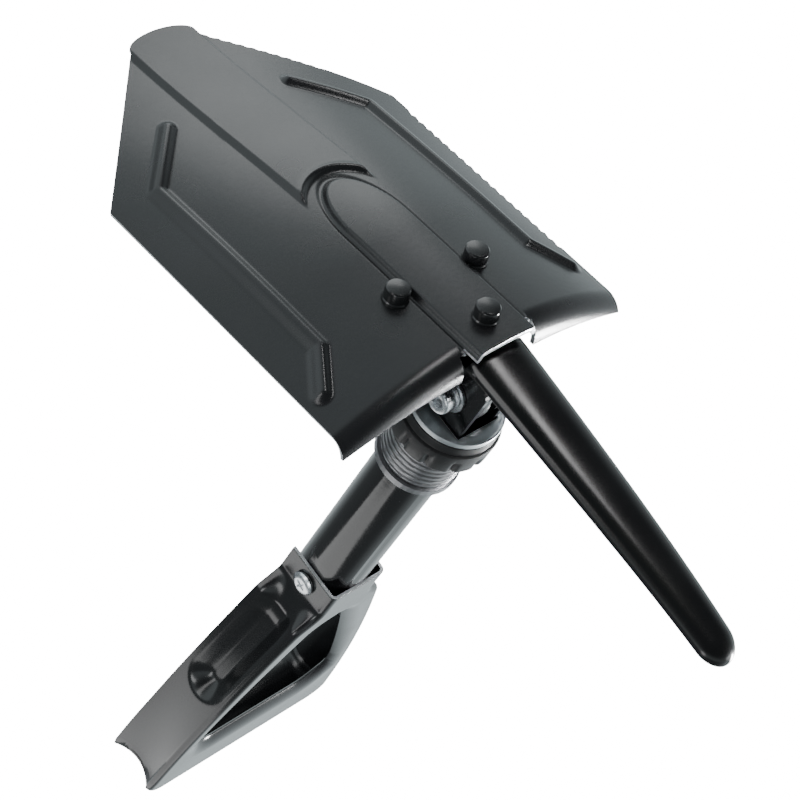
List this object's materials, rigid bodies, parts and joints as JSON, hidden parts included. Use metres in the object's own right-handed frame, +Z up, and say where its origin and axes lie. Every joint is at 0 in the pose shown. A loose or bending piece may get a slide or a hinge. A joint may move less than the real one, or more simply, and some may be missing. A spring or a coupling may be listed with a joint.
{
  "type": "folding camp shovel",
  "caption": "Short folding camp shovel: dished spade blade with one saw-toothed side, a pick behind it, a screw collar on a round shaft, and a folding D-shaped hand grip.",
  "frame": {"origin": "middle of the flat end of the D-grip, on the shaft's axis", "axes": "+Z up the shaft to the head, +Y the way the blade points when set as a hoe, +X the saw-toothed side"},
  "size_m": [0.152, 0.3504, 0.3647],
  "materials": {
    "powder_coat": "satin black powder coat with a fine grain",
    "gloss_coat": "glossy black coat",
    "black_plastic": "semi-matt moulded plastic",
    "zinc_plate": "bright zinc plate",
    "bare_steel": "plain turned steel"
  },
  "bodies": {
    "shaft": {"hinge_yoke": "powder_coat", "shaft_tube": "gloss_coat", "threaded_sleeve": "bare_steel", "yoke_cross_pin": "bare_steel", "stop_ring": "bare_steel", "tube_end_block": "black_plastic", "hinge_bolt": "zinc_plate", "hinge_nut": "zinc_plate", "hinge_washer_left": "zinc_plate", "hinge_washer_right": "zinc_plate", "grip_spacer": "bare_steel"},
    "blade": {"blade": "powder_coat", "blade_bracket": "powder_coat", "blade_rivet_left": "powder_coat", "blade_rivet_right": "powder_coat", "blade_rivet_front": "powder_coat"},
    "pick": {"pick": "gloss_coat", "pick_bracket": "powder_coat"},
    "bushing": {"hinge_bushing": "bare_steel"},
    "disc": {"pressure_disc": "zinc_plate"},
    "nut": {"lock_nut": "black_plastic"},
    "grip": {"grip_frame": "gloss_coat", "grip_bolt": "zinc_plate", "grip_bolt_nut": "zinc_plate"}
  },
  "joints": [
    {"name": "blade_fold", "type": "hinge", "parent": "shaft", "child": "blade", "pos_m": [0, 0, 0.326], "axis": [-1, 0, 0], "range_deg": [-90, 77.5]},
    {"name": "pick_fold", "type": "hinge", "parent": "blade", "child": "pick", "pos_m": [0, 0, 0.326], "axis": [1, 0, 0], "range_deg": [0, 90]},
    {"name": "grip_fold", "type": "hinge", "parent": "shaft", "child": "grip", "pos_m": [0, 0, 0.1675], "axis": [-1, 0, 0], "range_deg": [-160, 0]},
    {"name": "disc_slide", "type": "slide", "parent": "shaft", "child": "disc", "axis": [0, 0, 1], "range_m": [-0.006, 0]},
    {"name": "nut_spin", "type": "hinge", "parent": "disc", "child": "nut", "pos_m": [0, 0, 0.301], "axis": [0, 0, 1], "range_deg": [-720, 0]},
    {"name": "bushing_spin", "type": "hinge", "parent": "shaft", "child": "bushing", "pos_m": [0, 0, 0.326], "axis": [1, 0, 0], "continuous": true}
  ],
  "couplings": [
    {"joint": "nut_spin", "follows": "disc_slide", "rad_per_m": 2094.4}
  ]
}
